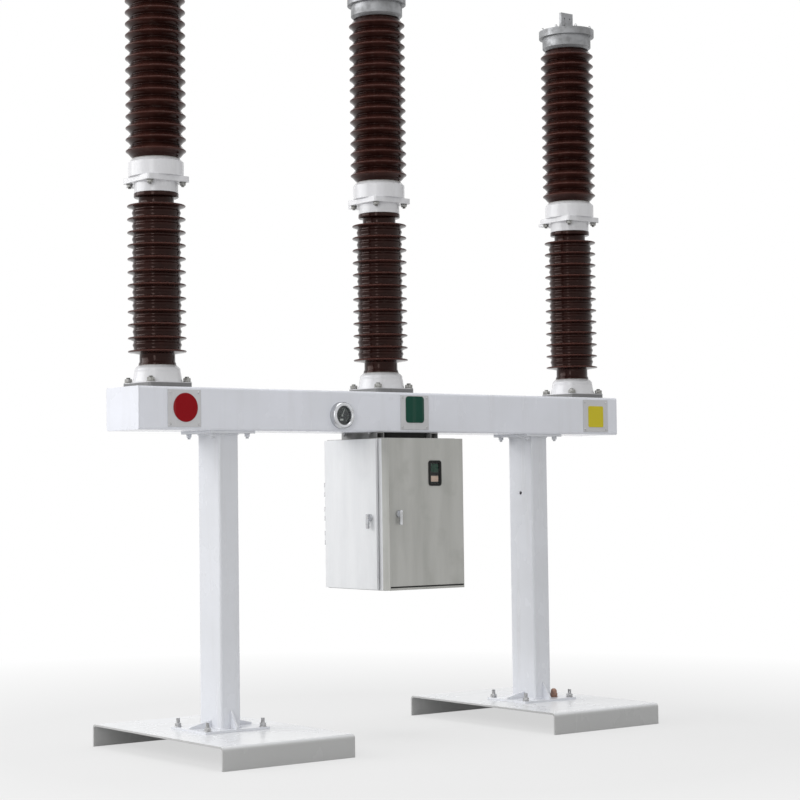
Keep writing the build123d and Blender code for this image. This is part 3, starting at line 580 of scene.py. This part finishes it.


# Doors: folded pans of the same sheet on plain pin hinges, with a quarter-turn handle that works a latch.
# Handles and hinges are chromed, each handle boss holds a slotted lock barrel; a black strip at the front door's foot
# is painted shade.

door_steel = sheet_steel("door_steel", (0.49, 0.49, 0.465, 1.0), (0.37, 0.37, 0.345, 1.0), 0.75)
dress(door_steel, "front_door")
door_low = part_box("front_door")[0]
# Painted shade: a thin black strip that stands for the shaded gap under the front door.
door_foot_shade_strip = bmesh.new()
add_slab(door_foot_shade_strip, 0.596, 0.009, thickness=0.003, corner=0.002, edge=0.001,
         place=facing_front(0.055, door_low.y + 0.0005, door_low.z + 0.019))
piece("door_foot_painted_shade_strip", door_foot_shade_strip, black_rubber, "front_door")
# The side door takes the paler copy of the sheet: painted light.
dress(painted_light_steel, "side_door")
dress(chrome, "front_hinges", "side_hinges", "front_handle", "side_handle")
lock_places = {"front": facing_front(-0.176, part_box("front_handle")[0].y, 1.416),
               "side": facing_left(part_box("side_handle")[0].x, -0.186, 1.391)}
barrel_face = 0.0002
barrel_outline = [(0, -0.002), (0.0105, -0.002), (0.0105, 0.0), (0.0095, 0.0008), (0.0082, 0.0008),
                  (0.0078, barrel_face), (0, barrel_face)]
for side, place in lock_places.items():
    barrel = bmesh.new()
    add_turned(barrel, barrel_outline, 32, place)
    add_slab(barrel, 0.0022, 0.011, thickness=0.0004, corner=0.0008, edge=0.0001,
             place=place @ Matrix.Translation((0, 0, barrel_face)), arc=2)
    piece(f"{side}_lock_barrel", barrel, galvanised, f"{side}_handle")


# Window: a glass pane in a black rubber frame, through which the breaker's state plate shows.
# The plate behind it is black enamel with a plain green block above and a plain cream block below.

dress(black_rubber, "window_frame")
dress(clear_glass, "window_pane")
state_black, state_shader = textured(
    "state_plate_enamel", paint_film, bump=0.00004, colour=(0.012, 0.013, 0.012, 1.0), soil=(0.04, 0.04, 0.04, 1.0),
    soil_amount=0.3)
state_shader.inputs["Specular IOR Level"].default_value = enamel_gloss
dress(state_black, "state_plate")
state_low, state_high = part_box("state_plate")
state_blocks = {"closed": dict(colour=(0.009, 0.056, 0.032, 1.0), bottom=1.672, top=1.727),
                "open": dict(colour=(0.72, 0.52, 0.43, 1.0), bottom=1.613, top=1.65)}
for name, block in state_blocks.items():
    enamel, enamel_shader = textured(
        f"state_{name}_enamel", paint_film, bump=0.00004, colour=block["colour"], soil=(0.2, 0.2, 0.2, 1.0),
        soil_amount=0.15)
    enamel_shader.inputs["Specular IOR Level"].default_value = enamel_gloss
    tile = bmesh.new()
    add_slab(tile, 0.066, block["top"] - block["bottom"], thickness=0.003, corner=0.003, edge=0.0008,
             place=facing_front((state_low.x + state_high.x) / 2, state_low.y, (block["bottom"] + block["top"]) / 2))
    piece(f"state_block_{name}", tile, enamel, "front_door")


# Pole bases: cast collars on a square plate, each bolted down to the beam by four studs at its corners.
# Light alloy castings, painted above and left dull grey on the plate's sides; the porcelain is set in cement.

cast_look = dict(colour=(0.77, 0.77, 0.79, 1.0), soil=(0.46, 0.45, 0.44, 1.0), soil_amount=0.2)
cast_paint, _ = textured("cast_paint", paint_film, bump=0.00016, **cast_look)
cement, _ = textured(
    "cement_joint", metal_skin, bump=0.0006, colour=(0.46, 0.45, 0.43, 1.0), tarnish=(0.33, 0.32, 0.30, 1.0),
    tarnish_amount=0.8, grain=55.0, polish=0.75)
pole_places = {"left": -1.7, "middle": 0.0, "right": 1.7}
collar_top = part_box("pole_base_middle")[1].z
plate_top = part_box("beam")[1].z + 0.028
base_paint, base_shader = textured("pole_base_paint", paint_film, bump=0.00016, **cast_look)
base_tree = base_paint.node_tree
base_place = base_tree.nodes.new("ShaderNodeTexCoord")
base_bare = remap(base_tree, upward_part(base_tree, base_place.outputs["Object"]), plate_top - 0.001,
                  plate_top - 0.005, 0.0, 0.9)
overlay(base_tree, base_shader, base_bare, (0.12, 0.12, 0.12, 1.0))
weathered, weathered_shader = textured(
    "weathered_bolts", metal_skin, bump=0.00012, colour=(0.36, 0.36, 0.35, 1.0), tarnish=(0.14, 0.135, 0.115, 1.0),
    tarnish_amount=0.75, grain=70.0, polish=0.36)
weathered_shader.inputs["Metallic"].default_value = 0.8
flare_outline = [(0.132, 0), (0.1505, 0), (0.1505, 0.005), (0.1482, 0.013), (0.1448, 0.026), (0.1418, 0.042),
                 (0.1396, 0.058), (0.1375, 0.064), (0.132, 0.064), (0.132, 0)]
joint_outline = [(0.108, -0.004), (0.117, -0.004), (0.1165, 0.001), (0.1135, 0.004), (0.1115, 0.0055),
                 (0.108, 0.0055), (0.108, -0.004)]
for side, x in pole_places.items():
    dress(base_paint, f"pole_base_{side}")
    base_bolts = bmesh.new()
    add_corner_bolts(base_bolts, (x, 0, plate_top), right=0.126, back=0.126, thread=0.027, flats=0.044,
                     stick_out=0.034)
    piece(f"pole_base_bolts_{side}", base_bolts, weathered, "frame")
    flare = bmesh.new()
    add_turned(flare, flare_outline, smooth_turn, Matrix.Translation((x, 0, plate_top)))
    piece(f"pole_base_flare_{side}", flare, cast_paint, "frame")
    joint = bmesh.new()
    add_turned(joint, joint_outline, smooth_turn, Matrix.Translation((x, 0, collar_top)))
    piece(f"base_cement_{side}", joint, cement, "frame")


# Lower insulators: hollow porcelain columns with wide sheds and a low rib between each pair, glazed brown and fired.
# The glaze is redder on the rims and darker at the shed roots: partly its own run, partly painted highlight and
# painted shade.

def add_shed(profile, level, below, above, reach, drop, rise, fillet, tip=0.005):
    """Add one shed to a profile from below: hollow root, sloping underside, round rim, sloping top, hollow root."""
    low, high, outer = level - tip - drop, level + tip + rise, reach - tip
    profile += [(below, low - fillet), (below + fillet * 0.3, low - fillet * 0.3)]
    for share in (0.0, 0.33, 0.66):
        profile.append((below + fillet + (outer - below - fillet) * share, level - tip - drop * (1 - share) ** 1.25))
    for turn in (-75, -45, -15, 15, 45, 75):
        profile.append((outer + tip * cos(radians(turn)), level + tip * sin(radians(turn))))
    for share in (0.66, 0.33, 0.0):
        profile.append((above + fillet + (outer - above - fillet) * share, level + tip + rise * (1 - share) ** 1.15))
    profile += [(above + fillet * 0.3, high + fillet * 0.3), (above, high + fillet)]


def porcelain(name, profile, x, root, reach, finish, node):
    """A glazed column turned from its profile, with each point's reach from root to rim kept for the glaze."""
    shape = bmesh.new()
    rim = shape.verts.layers.float.new("shed_reach")
    add_turned(shape, profile, smooth_turn, Matrix.Translation((x, 0, 0)))
    for point in shape.verts:
        out = Vector((point.co.x - x, point.co.y)).length
        point[rim] = min(1.0, max(0.0, (out - root) / (reach - root)))
    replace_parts(piece(name, shape, finish, "frame", crease=60), node)


glaze, glaze_in, glaze_out = new_group(
    "brown_glaze",
    [("Root", "NodeSocketColor", (0.02, 0.006, 0.004, 1.0)), ("Rim", "NodeSocketColor", (0.07, 0.022, 0.014, 1.0))],
    [("Colour", "NodeSocketColor"), ("Roughness", "NodeSocketFloat"), ("Height", "NodeSocketFloat")])
rim_sharpness, pale_dust = 2.2, (0.2, 0.17, 0.15, 1.0)
glaze_reach = glaze.nodes.new("ShaderNodeAttribute")
glaze_reach.attribute_name = "shed_reach"
glaze_cloud = stretched_noise(glaze, (1, 1, 1), scale=9.0, detail=4.0)
# Rims take the lighter, redder colour and roots the darker one: partly the glaze's own run, partly painted highlight
# and painted shade.
glaze_share = combine(glaze, "ADD", combine(glaze, "POWER", glaze_reach.outputs["Fac"], rim_sharpness),
                      remap(glaze, glaze_cloud, 0.3, 0.7, -0.18, 0.22))
glaze_colour = tint(glaze, remap(glaze, glaze_share, 0.0, 1.0), glaze_in.outputs["Root"], glaze_in.outputs["Rim"])
glaze_dust = remap(glaze, stretched_noise(glaze, (5, 5, 22), scale=4.0, detail=4.0), 0.58, 0.8, 0.0, 0.14)
glaze.links.new(tint(glaze, glaze_dust, glaze_colour, pale_dust), glaze_out.inputs["Colour"])
glaze.links.new(remap(glaze, glaze_cloud, 0.3, 0.7, 0.1, 0.2), glaze_out.inputs["Roughness"])
glaze.links.new(stretched_noise(glaze, (1, 1, 1), scale=60.0, detail=2.0), glaze_out.inputs["Height"])


def glazed(name, root, rim):
    """A glaze finish with its own two colours and the soft brown sheen that all the porcelain has."""
    finish, shader = textured(name, glaze, bump=0.0002, root=root, rim=rim)
    shader.inputs["Specular IOR Level"].default_value = 0.2
    shader.inputs["Specular Tint"].default_value = (0.85, 0.62, 0.57, 1.0)
    return finish


lower_glaze = glazed("lower_porcelain_glaze", root=(0.017, 0.0050, 0.0038, 1.0), rim=(0.062, 0.022, 0.017, 1.0))
lower_neck, lower_trunk, lower_rim, glaze_root = 0.106, 0.141, 0.175, 0.138
lower_sheds, lower_first, lower_pitch = 12, 0.086, 0.0789
rib_swell, rib_half, rib_steps = 0.0055, 0.0172, 4
for side, x in pole_places.items():
    low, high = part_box(f"lower_insulator_{side}")
    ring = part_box(f"mid_flange_{side}")[0].z
    outline = [(0, low.z), (0.112, low.z), (0.112, collar_top + 0.012), (0.1105, collar_top + 0.018),
               (0.1068, collar_top + 0.024)]
    for shed in range(lower_sheds):
        level = collar_top + lower_first + shed * lower_pitch
        topmost = shed == lower_sheds - 1
        add_shed(outline, level, lower_trunk if shed else lower_neck, lower_neck if topmost else lower_trunk,
                 lower_rim, drop=0.0103, rise=0.0055, fillet=0.0025)
        if not topmost:
            for step in range(-rib_steps, rib_steps + 1):
                swell = cos(pi * step / rib_steps) / 2 + 0.5
                outline.append((lower_trunk + rib_swell * swell,
                                level + lower_pitch / 2 + rib_half * step / rib_steps))
    outline += [(lower_neck, ring - 0.029), (0.110, ring - 0.026), (0.131, ring - 0.026), (0.1335, ring - 0.0235),
                (0.134, ring - 0.021), (0.134, ring - 0.004), (0.1332, ring - 0.001), (0.131, ring), (0.112, ring),
                (0.112, high.z), (0, high.z)]
    porcelain(f"lower_porcelain_{side}", outline, x, glaze_root, lower_rim, lower_glaze, f"lower_insulator_{side}")


# Middle flanges: cast fittings between the two porcelains, with the lower line terminal at the back.
# Light alloy, painted pale grey, bolted through the plate's corners into the chamber seat above.

for side, x in pole_places.items():
    dress(cast_paint, f"mid_flange_{side}", f"chamber_seat_{side}")
    plate_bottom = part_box(f"chamber_seat_{side}")[0].z - 0.033
    flange_bolts = bmesh.new()
    add_corner_bolts(flange_bolts, (x, 0, plate_bottom), right=0.115, back=0.115, thread=0.02, flats=0.034,
                     stick_out=0.028, hanging=True)
    piece(f"mid_flange_bolts_{side}", flange_bolts, weathered, "frame")


# Upper insulators: the arc chambers, thicker porcelain columns with equal sheds set close together.
# The same brown glaze, a little redder; a cement fillet shows where the porcelain stands in its seat.

upper_glaze = glazed("upper_porcelain_glaze", root=(0.017, 0.0048, 0.0036, 1.0), rim=(0.058, 0.020, 0.0155, 1.0))
upper_neck, upper_trunk, upper_rim = 0.14, 0.15, 0.181
upper_sheds, upper_first, upper_pitch = 15, 0.052, 0.0698
seat_joint = [(0.139, -0.004), (0.147, -0.004), (0.1465, 0.002), (0.1435, 0.006), (0.139, 0.0075), (0.139, -0.004)]
for side, x in pole_places.items():
    low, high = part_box(f"upper_insulator_{side}")
    seat_top, head_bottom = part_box(f"chamber_seat_{side}")[1].z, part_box(f"top_flange_{side}")[0].z
    outline = [(0, low.z), (upper_neck, low.z), (upper_neck, seat_top + 0.012)]
    for shed in range(upper_sheds):
        add_shed(outline, seat_top + upper_first + shed * upper_pitch, upper_trunk, upper_trunk, upper_rim,
                 drop=0.0258, rise=0.030, fillet=0.0015)
    outline += [(upper_neck, head_bottom - 0.004), (upper_neck, high.z), (0, high.z)]
    porcelain(f"upper_porcelain_{side}", outline, x, upper_trunk, upper_rim, upper_glaze, f"upper_insulator_{side}")
    joint = bmesh.new()
    add_turned(joint, seat_joint, smooth_turn, Matrix.Translation((x, 0, seat_top)))
    piece(f"seat_cement_{side}", joint, cement, "frame")


# Top flanges and caps: bare cast aluminium heads that close the arc chambers, with an upright terminal blade.
# Eight bolts clamp the cap to the flange; the castings have a fine sand texture and a dull grey skin.

cast_alloy, alloy_shader = textured(
    "cast_alloy", metal_skin, bump=0.0003, colour=(0.30, 0.305, 0.315, 1.0), tarnish=(0.18, 0.18, 0.18, 1.0),
    tarnish_amount=0.6, grain=18.0, polish=0.42)
alloy_shader.inputs["Metallic"].default_value = 0.7
cap_bolt_count, cap_bolt_reach, cap_rim = 8, 0.174, 0.022
for side, x in pole_places.items():
    dress(cast_alloy, f"top_flange_{side}", f"top_cap_{side}")
    cap_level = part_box(f"top_flange_{side}")[1].z + cap_rim
    cap_bolts = bmesh.new()
    for turn in range(cap_bolt_count):
        swing = Matrix.Rotation(2 * pi * (turn + 0.5) / cap_bolt_count, 4, "Z")
        place = Matrix.Translation((x, 0, cap_level)) @ swing @ Matrix.Translation((cap_bolt_reach, 0, 0))
        add_bolt(cap_bolts, place, thread=0.012, flats=0.019, stick_out=0.018)
    piece(f"cap_bolts_{side}", cap_bolts, galvanised, "frame")


# Studio: a plain pale floor under a white surround, with a broad soft key, a tall strip, a top light and even fill.
# The camera stands where the photograph was taken, at chest height to the left of the breaker.

floor_shape = bmesh.new()
bmesh.ops.create_grid(floor_shape, x_segments=4, y_segments=4, size=60)
floor_mesh = bpy.data.meshes.new("floor")
floor_shape.to_mesh(floor_mesh)
floor_shape.free()
floor = bpy.data.objects.new("floor", floor_mesh)
bpy.context.scene.collection.objects.link(floor)


def shown_rays(tree):
    """One for rays that show the surround itself: camera, mirror and see-through rays; zero for soft light."""
    path = tree.nodes.new("ShaderNodeLightPath")
    seen = combine(tree, "MAXIMUM", path.outputs["Is Camera Ray"], path.outputs["Is Glossy Ray"])
    return combine(tree, "MAXIMUM", seen, path.outputs["Is Transmission Ray"])


floor_finish = bpy.data.materials.new("studio_floor")
floor_finish.use_nodes = True
floor_tree = floor_finish.node_tree
floor_shader = floor_tree.nodes["Principled BSDF"]
floor_shader.inputs["Base Color"].default_value = (0.55, 0.55, 0.55, 1.0)
floor_shader.inputs["Roughness"].default_value = 0.9
floor_shader.inputs["Specular IOR Level"].default_value = 0.0
floor_glow = floor_tree.nodes.new("ShaderNodeEmission")
floor_place = floor_tree.nodes.new("ShaderNodeTexCoord")
floor_reach = floor_tree.nodes.new("ShaderNodeVectorMath")
floor_reach.operation = "LENGTH"
floor_tree.links.new(floor_place.outputs["Object"], floor_reach.inputs[0])
floor_fade = combine(floor_tree, "MULTIPLY", remap(floor_tree, floor_reach.outputs["Value"], 2.5, 6.5, 0.62, 1.0),
                     shown_rays(floor_tree))
floor_mix = floor_tree.nodes.new("ShaderNodeMixShader")
floor_tree.links.new(floor_fade, floor_mix.inputs["Fac"])
floor_tree.links.new(floor_shader.outputs["BSDF"], floor_mix.inputs[1])
floor_tree.links.new(floor_glow.outputs["Emission"], floor_mix.inputs[2])
floor_tree.links.new(floor_mix.outputs["Shader"], floor_tree.nodes["Material Output"].inputs["Surface"])
floor_mesh.materials.append(floor_finish)

world = bpy.data.worlds.new("white_surround")
bpy.context.scene.world = world
world.use_nodes = True
world_tree = world.node_tree
surround = world_tree.nodes["Background"]
surround.inputs["Color"].default_value = (1.0, 1.0, 1.0, 1.0)
even_fill = 0.52
fill_level = remap(world_tree, shown_rays(world_tree), 0.0, 1.0, even_fill, 1.0)
world_tree.links.new(fill_level, surround.inputs["Strength"])


def add_lamp(name, size, energy, place, aim):
    """A rectangular soft lamp that shines from its place towards its aim."""
    light = bpy.data.lights.new(name, "AREA")
    light.shape = "RECTANGLE"
    light.size, light.size_y = size
    light.energy = energy
    lamp = bpy.data.objects.new(name, light)
    lamp.location = place
    lamp.rotation_euler = (Vector(aim) - Vector(place)).to_track_quat("-Z", "Y").to_euler()
    bpy.context.scene.collection.objects.link(lamp)


add_lamp("key", size=(14.0, 7.0), energy=1090.0, place=(-12.4, 7.6, 7.7), aim=(0, 0, 1.8))
add_lamp("strip", size=(2.4, 8.0), energy=260.0, place=(-11.5, -8.0, 5.0), aim=(0, 0, 3.2))
add_lamp("crown", size=(9.0, 9.0), energy=700.0, place=(0, 0, 13.0), aim=(0, 0, 0))

photo_width, photo_focus = 800, 1962.35
camera_turn, camera_tilt, camera_roll = -0.62371, 0.04557, -0.0101
lens_data = bpy.data.cameras.new("camera")
lens_data.sensor_width = 36.0
lens_data.lens = lens_data.sensor_width * photo_focus / photo_width
lens_data.shift_x = 0.15
lens_data.clip_end = 200.0
camera = bpy.data.objects.new("camera", lens_data)
camera.matrix_world = (Matrix.Translation((-7.9122, -9.8778, 1.5735)) @ Matrix.Rotation(camera_turn, 4, "Z")
                       @ Matrix.Rotation(pi / 2 + camera_tilt, 4, "X") @ Matrix.Rotation(camera_roll, 4, "Z"))
bpy.context.scene.collection.objects.link(camera)
bpy.context.scene.camera = camera
bpy.context.scene.view_settings.view_transform = "Standard"
